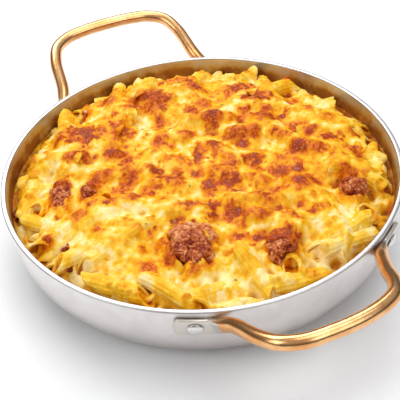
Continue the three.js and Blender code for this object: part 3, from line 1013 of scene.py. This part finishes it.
def small_blisters():
    """Places and radii by chance, kept more often where it is hot, not on a chunk."""
    kept = []
    for k in range(FIRST_BLISTER, FIRST_BLISTER + BLISTER_TRIES):
        place = (np.array([draw(k, 51), draw(k, 52)]) - 0.5) * 2 * HOT_REACH
        heat = 1 - ease(np.linalg.norm(place - HOT_CENTRE), 60, HOT_REACH)
        radius = 0.8 + 2.0 * draw(k, 54) ** 2.2
        if (np.linalg.norm(place) > BLISTER_REACH or draw(k, 53) > 0.05 + 0.95 * heat
                or any(np.linalg.norm(place - other[:2]) < 0.9 * (radius + other[2])
                       for other in kept)
                or any(np.hypot(*(place - chunk[:2])) < chunk[2] for chunk in CHUNKS)):
            continue
        kept.append((*place, radius, radius))
        if len(kept) == SMALL_BLISTERS:
            break
    return kept


def blistered():
    """Dome height, browning and halo of every patch, the highest kept on the map. Noise
    moves the distance from each middle, so that outlines break up into grains."""
    wander = np.dstack([rough(flat, 6.0, 3, seed=s, fade=0.62) for s in (21, 22)]) * 1.7
    crumble = rough(flat, 3.2, 2, seed=23, fade=0.8)
    dome, brown, halo = (np.zeros(mound.shape) for _ in range(3))
    for number, (x, y, wide, deep) in enumerate(PATCHES + small_blisters()):
        rel = plan + wander - (x, y)
        away = np.hypot(rel @ ACROSS_SIGHT / wide, rel @ FAR_SIDE / deep)
        size = math.sqrt(wide * deep)
        power = 0.7 + 0.3 * draw(number, 57) if size > 2.4 else 0.45 + 0.35 * draw(number, 58)
        beyond = (away - 0.9) * size
        dome = np.maximum(dome, 0.55 * power * min(1.4, math.sqrt(size / 2.6))
                          * (1 - ease(away, 0.2, 1.5)))
        broken = 0.6 * min(1, size / 3) * crumble
        brown = np.maximum(brown, power * (1 - ease(away + broken, 0.62, 1.16)))
        halo = np.maximum(halo, power * np.exp(-np.maximum(0, beyond) ** 2 / 10.0)
                          * min(1, size / 2.2))
    return dome, brown, halo


dome, brown, halo = blistered()
print("browned share:", (brown[within] > 0.4).mean().round(3))

# %% the crust's browning
CRUMB_SIZE = 2.4
crumb = pebbled(plan, CRUMB_SIZE, seed=35)


def crust_maps(surface):
    """Browning from 0 to 1, and how deep each place lies under its surroundings in mm, made
    deeper in a ring by the wall, for the materials to darken as painted shade.
    """
    relief = softened(surface, 0.5) - softened(surface, 3.5)
    heat = 1 - ease(np.linalg.norm(plan - HOT_CENTRE, axis=-1), 52, HOT_REACH)
    dapple = rough(flat, 9, 3, seed=31, fade=0.62)
    grains = 1.6 * crumb - 1
    cream = (0.13 - 0.07 * heat) * ease(rough(flat, 16, 3, seed=39), -0.3, 0.5)
    fine = rough(flat, 3.2, 2, seed=33, fade=0.7)
    gold = (0.12 + 0.11 * dapple + 0.1 * fine + 0.04 * relief + 0.42 * halo + 0.05 * grains
            - cream)
    spots = ease(rough(flat, 3.0, 3, seed=37, fade=0.65), 0.35, 0.9) * (0.05 + 0.26 * halo)
    singed = np.zeros(mound.shape)
    for number, chunk in enumerate(CHUNKS):
        away, far = about_chunk(chunk)
        patchy = 0.55 + 0.6 * rough(flat, 4.5, 3, seed=80 + number)
        halo_to = 1.35 + 2.2 / chunk[3]
        singed = np.maximum(singed, patchy * (1 - ease(away, 1.02, halo_to))
                            * (0.6 + 0.15 * far))
    gold = np.clip(gold + spots, 0, 0.64)
    lapped = covered * (0.66 + 0.2 * grains + 0.16 * rough(flat, 5, 2, seed=77))
    singed = np.maximum(singed, lapped)
    blistering = brown * (0.74 + 0.26 * grains + 0.1 * rough(flat, 6, 2, seed=36))
    toast = np.maximum(np.maximum(gold, blistering), np.clip(singed, 0, 0.85))
    # the depth is raised in a ring by the wall, where painted shade falls
    return toast, np.clip(1.8 * ease(from_axis, 107, 113) - relief, -3, 5)


surface = cheese + dome + (0.15 + 0.85 * brown) * (crumb - 0.6)
browned, painted_hollow_shade = crust_maps(surface)
print("browned mean:", browned[within].mean().round(2))

# %% [markdown]
# The map is square and the dish is round. A square grid can be bent onto a disc without
# changing any cell's area: rings of the square become circles. That gives an even mesh
# with a clean round edge, and the same body is closed down the wall and along the floor.

# %% the crust as a closed body
CRUST_CELLS = 292
FLOOR_STEPS = 8


def disc_grid(cells, radius):
    """Plan places of a square grid bent onto a disc: a square ring becomes the circle of
    its half side, and the place along each side becomes an angle."""
    side = np.linspace(-1, 1, cells + 1)
    a, b = np.meshgrid(side, side, indexing="ij")
    wide = np.abs(a) > np.abs(b)
    ring = np.where(wide, a, b)
    angle = np.where(wide, np.pi / 4 * b / np.where(a == 0, 1, a),
                     np.pi / 2 - np.pi / 4 * a / np.where(b == 0, 1, b))
    return np.stack([ring * np.cos(angle), ring * np.sin(angle)], -1) * radius


def square_edge(cells):
    """Numbers of the points round the square's edge, anticlockwise from its first corner."""
    row = np.arange(cells + 1)
    n = cells + 1
    return np.r_[row[:-1] * n, cells * n + row[:-1], (row[:0:-1]) * n + cells, row[:0:-1]]


def body_below(heights, reach):
    """A closed body: the disc's grid on top, then rings down the wall and over the floor.
    heights gives the top at plan places, and reach the wall's radius there."""
    place = disc_grid(CRUST_CELLS, reach).reshape(-1, 2)
    top = np.c_[place, heights(place)]
    rim = square_edge(CRUST_CELLS)
    skin = WALL + FIT_GAP
    direction = place[rim] / np.linalg.norm(place[rim], axis=1)[:, None]
    rings = [np.c_[direction * radius, np.full(len(rim), height)]
             for radius, height in floor_profile(skin, FLOOR_STEPS)[:0:-1]]
    points = np.vstack([top, *rings, [[0, 0, skin]]])
    n = CRUST_CELLS + 1
    faces = [grid_quads(n, n, around=False)[:, ::-1]]
    previous = rim
    for k in range(len(rings)):
        here = len(top) + k * len(rim) + np.arange(len(rim))
        faces.append(np.stack([previous, here, np.roll(here, -1), np.roll(previous, -1)], -1))
        previous = here
    middle = np.full(len(rim), len(points) - 1)
    faces.append(np.stack([previous, middle, np.roll(previous, -1)], -1))
    return points, faces

# %% [markdown]
# ## Finishes of the food
# Cheese and pasta brown alike, so one node group turns four values, how browned, how
# deep, how pale and how flecked, into a colour and a gloss. Depth darkens the colour
# towards amber as painted shade. Cream comes first, then yellow, gold, orange, and the
# red brown of a blister, turning pinkish at the darkest as a painted sheen.

# %% the tones of baked cheese
def baked_tones():
    """A node group: Browned, Depth, Pale and Fleck in, Color and Gloss out. Depth darkens
    the colour towards amber as painted shade.
    """
    tree = bpy.data.node_groups.new("baked_tones", "ShaderNodeTree")
    for name in ("Browned", "Depth", "Pale", "Fleck"):
        tree.interface.new_socket(name, in_out="INPUT", socket_type="NodeSocketFloat")
    tree.interface.new_socket("Color", in_out="OUTPUT", socket_type="NodeSocketColor")
    tree.interface.new_socket("Gloss", in_out="OUTPUT", socket_type="NodeSocketFloat")
    inside = add_node(tree, "NodeGroupInput").outputs
    browned = inside["Browned"]
    uneven = times(minus(inside["Fleck"], 0.5),
                   plus(times(maths("POWER", browned, 2.0), 2.6), 0.2))
    # painted shade: the deeper a place, the more golden and the darker amber it is made
    deep = spread(inside["Depth"], 0.6, 3.4)
    value = minus(plus(browned, uneven), times(inside["Pale"], 0.22))
    value = plus(value, times(deep, 0.2))
    # the top stops turn pinkish: a painted sheen on the darkest blisters
    toast = ramp(value, (0.0, 253, 227, 158), (0.07, 251, 212, 102), (0.16, 247, 193, 36),
                 (0.28, 241, 166, 6), (0.4, 230, 135, 4), (0.52, 213, 103, 5),
                 (0.63, 190, 76, 7), (0.75, 154, 53, 9), (0.87, 150, 59, 28),
                 (1.0, 186, 112, 92))
    feed(add_node(tree, "NodeGroupOutput"), Gloss=spread(value, 0.15, 0.85, 0.5, 0.3),
         Color=mixed(times(deep, 0.9), toast, seen(176, 132, 60), "MULTIPLY"))
    return tree


def toned(shader, tones, **inputs):
    """The tones group with a material's own values, set on its shader's colour and gloss."""
    made = add_node(shader, "ShaderNodeGroup", {"node_tree": tones}, **inputs).outputs
    feed(shader, Base_Color=made["Color"], Roughness=made["Gloss"])


def fatty(shader, clear, reach_mm, colours, coat):
    """Food that is a little clear, so that light goes reach_mm into it, in the given shares
    of red, green and blue, with a thin coat of fat."""
    feed(shader, Subsurface_Weight=clear, Subsurface_Scale=reach_mm * MM,
         Subsurface_Radius=colours, Specular_IOR_Level=0.2, Coat_Weight=coat,
         Coat_Roughness=0.2)


WARM_LIGHT = (1.0, 0.6, 0.25)       # red goes in furthest


def melted_cheese(tones):
    """The crust: tones from the mesh's browning, mottled finely, oily and a little clear."""
    material, shader, where = start_material("melted_cheese")
    browned = mark(where, "browned")
    blotch = speckle(where, 170.0, 3.0, 0.6, 0.6)
    fleck = speckle(where, 560.0, 3.0, 0.75)
    toned(shader, tones, Browned=browned, Depth=mark(where, "painted_hollow_shade"), Fleck=fleck,
          Pale=times(minus(blotch, 0.48), 2.0))
    fatty(shader, 0.12, 1.6, WARM_LIGHT, 0.06)
    bumped(shader, plus(times(blotch, 0.6), times(fleck, plus(browned, 0.2))), 1.2)
    return material


def baked_pasta(tones):
    """Penne under a film of cheese: yellow to gold, and darker amber in the bore and where
    they lie deep, as painted shade.
    """
    material, shader, where = start_material("baked_pasta")
    bore = mark(where, "bore")
    blotch = speckle(where, 120.0, 3.0, 0.55, 0.4)
    # painted shade: the bore is made browner and deeper, so a darker amber
    toned(shader, tones, Browned=plus(mark(where, "browned"), times(bore, 0.12)),
          Depth=plus(mark(where, "painted_hollow_shade"), times(bore, 2.2)), Pale=minus(blotch, 0.5),
          Fleck=speckle(where, 520.0, 3.0, 0.6))
    fatty(shader, 0.15, 2.0, WARM_LIGHT, 0.05)
    bumped(shader, speckle(where, 700.0, 3.0, 0.6), 0.3)
    return material


tones = baked_tones()
pasta_finish = baked_pasta(tones)

# %% make the crust and the penne
RIM_FADE = 2.5                # width of the edge that sinks, and how far it sinks
RIM_SINK = 1.5
# from and to: radius and height between which the wall shades the penne
SHADED_OUT, SHADED_DOWN = (106, 112), (46, 41)
bake_reach = wall_radius(EDGE_LEVEL, WALL + FIT_GAP)


def crust_height(place):
    """The cheese's height at plan places, sunk to the wall's edge at the very rim."""
    rim = ease(np.linalg.norm(place, axis=1), bake_reach - RIM_FADE, bake_reach)
    return read_map(surface, place) * (1 - rim) + (EDGE_LEVEL - RIM_SINK) * rim


crust_points, crust_faces = body_below(crust_height, bake_reach)
crust_plan = crust_points[:, :2]
make_piece("cheese_crust", crust_points, crust_faces, melted_cheese(tones), "bake",
           ["pasta_bake"], {"browned": read_map(browned, crust_plan),
                            "painted_hollow_shade": read_map(painted_hollow_shade, crust_plan)})


def penne_piece(name, places):
    """Many penne as one piece, each point marked with the crust's browning there and with
    how far it lies under the cheese, more by the wall, which the material darkens as
    painted shade."""
    tubes = [penne_tube(place) for place in places]
    points, faces = joined([tube[:2] for tube in tubes])
    bore, tone = (np.concatenate(values) for values in list(zip(*tubes))[2:])
    at = points[:, :2]
    # painted shade: how far a point lies under the cheese, and more low by the wall
    under = read_map(softened(surface, 2.0), at) - points[:, 2]
    under += 3 * ease(np.linalg.norm(at, axis=1), *SHADED_OUT) * ease(points[:, 2], *SHADED_DOWN)
    make_piece(name, points, faces, pasta_finish, "bake", ["pasta_bake"], {
        "browned": 0.06 + 0.56 * read_map(browned, at) + 0.1 * (tone - 0.5),
        "painted_hollow_shade": np.clip(0.75 * under, -1, 4.5), "bore": bore})


penne_piece("penne_tubes", [p for p in standing + mouths if by_the_rim(p)])
penne_piece("penne_packed_low", [p for p in lying_low if by_the_rim(p)])

# %% [markdown]
# ## Sausage
# The chunks are torn sausage meat, browned by the oven. A ball is pushed in and out in
# three sizes of lump: the chunk's own form, then coarse crumbs, then the grain of the
# mince. How far a point stands out is kept for its tone: the high grains are paler,
# partly their own tone and partly a painted highlight, and the cracks and the near side
# are darker as painted shade.

# %% a chunk of sausage
CHUNK_ROUGHNESS = 0.15
CHUNK_TAPER = 0.46
CHUNK_BLUNT = 0.3
FORM_SEED = 14
CHUNK_TONES = (-0.25, -0.15, 0, -0.35, -0.5)
CHUNK_ROWS, CHUNK_SIDES = 84, 132


def ball(rows, columns):
    """A unit ball as pole, rings of latitude, pole."""
    lift = np.pi * np.arange(1, rows) / rows - np.pi / 2
    profile = [(0, -1), *zip(np.cos(lift), np.sin(lift)), (0, 1)]
    return turned(profile, columns)


def meat_lump(x, y, along, across, up, seed):
    """The chunk's swelling, as in the solids, then rounded crumbs and grains, scaled by
    its half sizes, narrowed towards the near side, turned and set on the mound."""
    point, faces = ball(CHUNK_ROWS, CHUNK_SIDES)
    swell = np.sin(3.3 * point[:, 0] + 2 * seed) * np.cos(2.9 * point[:, 1] + seed) \
        + 0.6 * np.sin(6.1 * point[:, 2] + 4.3 * point[:, 0] + 3 * seed)
    size = np.array([along, across, up])
    real = point * size
    form = rough(real, 12, 2, seed + FORM_SEED, fade=0.6)
    askew = real + 0.9 * np.stack([rough(real, 2.8, 2, seed + k) for k in (50, 51, 52)], -1)
    crumbs, grain = pebbled(askew, 4.2, seed), pebbled(askew, 1.8, seed + 9)
    fine = rough(real, 1.1, 2, seed + 20)
    out = (2.0 * form + 1.8 * crumbs + 0.9 * grain + 0.35 * fine - 1.9) * (0.5 + 0.5 * up / 8)
    real = real * (1 + CHUNK_ROUGHNESS * swell)[:, None] + point * out[:, None]
    near = np.maximum(0, point[:, 0])
    real[:, 1] *= 1 - CHUNK_TAPER * point[:, 0]
    real[:, 0] -= CHUNK_BLUNT * along * near ** 2
    real = turn_about_z(real, CHUNK_HEADING) + (x, y, bake_level(x, y) + CHUNK_SEAT * up)
    # painted light: the tone rises on the high grains, partly as a highlight, and falls on the
    # near side as shade
    tone = 1.1 * crumbs + 1.5 * grain + 0.4 * form + 0.7 * fine - 0.6 * near ** 2 - 1.5
    return real, faces, tone + CHUNK_TONES[seed - 1]


def sausage_meat():
    """Browned meat: dark red brown in the cracks as painted shade, tan and pinkish on the
    grains, partly their own tone and partly a painted highlight, with fat that shines."""
    material, shader, where = start_material("sausage_meat")
    cloud = speckle(where, 260.0, 4.0, 0.65, 0.5)
    grain = speckle(where, 900.0, 3.0, 0.6)
    value = plus(mark(where, "tone_highlight_and_shade"), times(minus(cloud, 0.5), 1.5))
    feed(shader, Roughness=spread(grain, 0.35, 0.7, 0.28, 0.55),
         Base_Color=ramp(spread(value, -1.9, 1.7), (0.0, 88, 20, 4), (0.22, 126, 38, 10),
                         (0.42, 160, 62, 22), (0.62, 190, 96, 44), (0.82, 220, 142, 84),
                         (1.0, 242, 192, 136)))
    fatty(shader, 0.08, 1.0, (1.0, 0.35, 0.2), 0.08)
    bumped(shader, plus(cloud, grain), 0.5)
    return material


meat = sausage_meat()
for number, chunk in enumerate(CHUNKS, 1):
    lump, skin, out = meat_lump(*chunk, number)
    make_piece(f"sausage_chunk_{number}", lump, skin, meat, "sausage", [f"sausage_{number}"],
               {"tone_highlight_and_shade": out})

# %% [markdown]
# Smaller bits of the same meat lie half sunk in the cheese, most of them by the wall.
# They are made as the chunks are, with fewer points, and joined into one piece.

# %% bits of meat
# place and half length
MEAT_BITS = [(38.6, -105.6, 3.6), (35.2, -99.1, 3.0), (20.3, -94.6, 3.4), (-28.8, -108.6, 4.2),
             (98.5, 55.5, 5.0), (92.0, 62.5, 4.2), (103.5, 47.0, 3.4), (-71.0, 77.5, 2.6),
             (-96.0, -38.0, 2.4)]
BIT_ROWS, BIT_SIDES = 26, 40


def meat_bits():
    """Small lumps set into the cheese at their places, a third of each standing proud."""
    parts, marks = [], []
    for k, (x, y, size) in enumerate(MEAT_BITS):
        point, faces = ball(BIT_ROWS, BIT_SIDES)
        real = point * size * (1, 0.62 + 0.3 * draw(k, 61), 0.55)
        out = 0.8 * noise(real, 3.4, k + 30) + 1.5 * grained(real, 2.4, k + 40) - 1.3
        real = turn_about_z(real + point * out[:, None] * 0.8, 180 * draw(k, 62))
        level = read_map(softened(surface, 1.0), np.array([[x, y]]))[0]
        real = real + (x, y, level - 0.25 * size)
        parts.append((real, faces))
        # the bits' tone: paler on high grains, partly a painted highlight, darker in the cracks
        # as painted shade
        marks.append(out - 0.7)
    return (*joined(parts), np.concatenate(marks))


bits, bit_faces, bit_marks = meat_bits()
make_piece("meat_bits", bits, bit_faces, meat, "sausage", marks={"tone_highlight_and_shade": bit_marks})

# %% [markdown]
# ## Herbs
# A few flecks of dried herb are baked into the cheese. Each is a thin bent scrap of
# leaf, a few faces only, and they are joined into one piece.

# %% herb flecks
HERB_FLECKS = 16
HERB_REACH = 104
FULL_TURN = 6.283
LEAF_ROWS, LEAF_SIDES = 4, 7


def herb_green():
    """Dark, dry green, uneven from scrap to scrap."""
    material, shader, where = start_material("herb_green")
    cloud = speckle(where, 240.0, 2.0)
    feed(shader, Roughness=spread(cloud, 0.3, 0.7, 0.5, 0.75), Specular_IOR_Level=0.1,
         Base_Color=mixed(cloud, seen(160, 154, 84), seen(128, 130, 66)))
    bumped(shader, speckle(where, 1500.0, 2.0), 0.1)
    return material


def flecks():
    """Closed scraps: a thin ball flattened to a leaf scrap and laid on the cheese."""
    parts = []
    for k in range(HERB_FLECKS):
        point, faces = ball(LEAF_ROWS, LEAF_SIDES)
        size = 0.7 + 0.5 * draw(k, 72)
        real = point * (size * 1.5, size * 0.8, 0.12)
        real[:, 2] += 0.25 * noise(real[:, :2], 0.9, k)
        place = HERB_REACH * math.sqrt(draw(k, 70)) * way(FULL_TURN * draw(k, 71))
        level = read_map(surface, place[None])[0]
        real = turn_about_z(real, 360 * draw(k, 73)) + (*place, level + 0.02)
        parts.append((real, faces))
    return joined(parts)


make_piece("herb_flecks", *flecks(), herb_green(), "bake")

# %% [markdown]
# ## The picture
# The dish stands on a plain pale floor, under a large soft lamp from above and behind,
# a weaker one overhead, and one each from the left and the front. The camera looks down
# on it from the front, a little turned, from a bit over half a metre.

# %% floor and lights
FLOOR_HALF = 6.0
FLOOR_LEVEL = -0.0004
LAMP_AIM = Vector((0, 0, 0.03))


def pale_floor():
    """A wide plain floor just under the base, nearly white and matt."""
    material, shader, where = start_material("pale_floor")
    feed(shader, Roughness=0.9, Base_Color=mixed(
        speckle(where, 3.0, 2.0), (0.95, 0.95, 0.95, 1), (0.935, 0.935, 0.94, 1)))
    mesh = bpy.data.meshes.new("floor")
    mesh.from_pydata([(x * FLOOR_HALF, y * FLOOR_HALF, FLOOR_LEVEL) for x, y in
                      ((-1, -1), (1, -1), (1, 1), (-1, 1))], [], [(0, 1, 2, 3)])
    mesh.materials.append(material)
    put("floor", mesh)


def soft_lamp(name, place, wide, deep, power):
    """A flat lamp at a place in metres, wide from side to side, turned to the dish."""
    lamp = bpy.data.lights.new(name, "AREA")
    lamp.shape, lamp.size, lamp.size_y, lamp.energy = "RECTANGLE", wide, deep, power
    holder = put(name, lamp)
    holder.location = place
    holder.rotation_euler = (LAMP_AIM - Vector(place)).to_track_quat("-Z", "Y").to_euler()


def studio_world(strength):
    """A surround that is bright overhead and dark near the horizon, which gives polished
    metal its dark edges."""
    world = bpy.data.worlds.new("studio")
    bpy.context.scene.world = world
    world.use_nodes = True
    back = world.node_tree.nodes["Background"]
    high = height_of(add_node(back, "ShaderNodeTexCoord").outputs["Generated"])
    feed(back, Strength=strength, Color=ramp(
        high, (0.0, 150, 150, 152), (0.05, 90, 90, 94), (0.3, 132, 132, 136),
        (0.58, 245, 247, 250)))


pale_floor()
soft_lamp("lamp_back", (-0.85, 0.1, 1.0), 1.2, 0.6, 11)
soft_lamp("lamp_above", (0.15, 0.2, 1.2), 0.7, 0.7, 3.6)
soft_lamp("lamp_left", (0.1, -1.1, 0.8), 0.8, 0.8, 4.2)
soft_lamp("lamp_front", (1.1, 0.3, 0.9), 0.8, 0.8, 3.5)
studio_world(0.54)
bpy.context.scene.view_settings.view_transform = "Standard"

# %% the camera
CAMERA_AIM = Vector((0.02171, -0.01194, 0.044))
CAMERA_AWAY = 0.5845
CAMERA_ELEVATION = 40.59
CAMERA_HEADING = -23.8
CAMERA_ROLL = -4.24
LENS = 90
SENSOR = 36


def look_down():
    """A camera on its axes: back from its elevation and heading, right and up turned by
    its roll about the line of sight."""
    up_angle, heading, roll = (math.radians(v) for v in (CAMERA_ELEVATION, CAMERA_HEADING,
                                                         CAMERA_ROLL))
    back = Vector((math.cos(up_angle) * math.cos(heading),
                   math.cos(up_angle) * math.sin(heading), math.sin(up_angle)))
    right = (-back).cross(Vector((0, 0, 1))).normalized()
    up = right.cross(-back)
    side = right * math.cos(roll) + up * math.sin(roll)
    top = up * math.cos(roll) - right * math.sin(roll)
    data = bpy.data.cameras.new("camera")
    data.lens, data.sensor_width = LENS, SENSOR
    data.clip_start, data.clip_end = 0.01, 50
    camera = put("camera", data)
    camera.matrix_world = Matrix((side, top, back)).transposed().to_4x4()
    camera.location = CAMERA_AIM + back * CAMERA_AWAY
    bpy.context.scene.camera = camera


look_down()
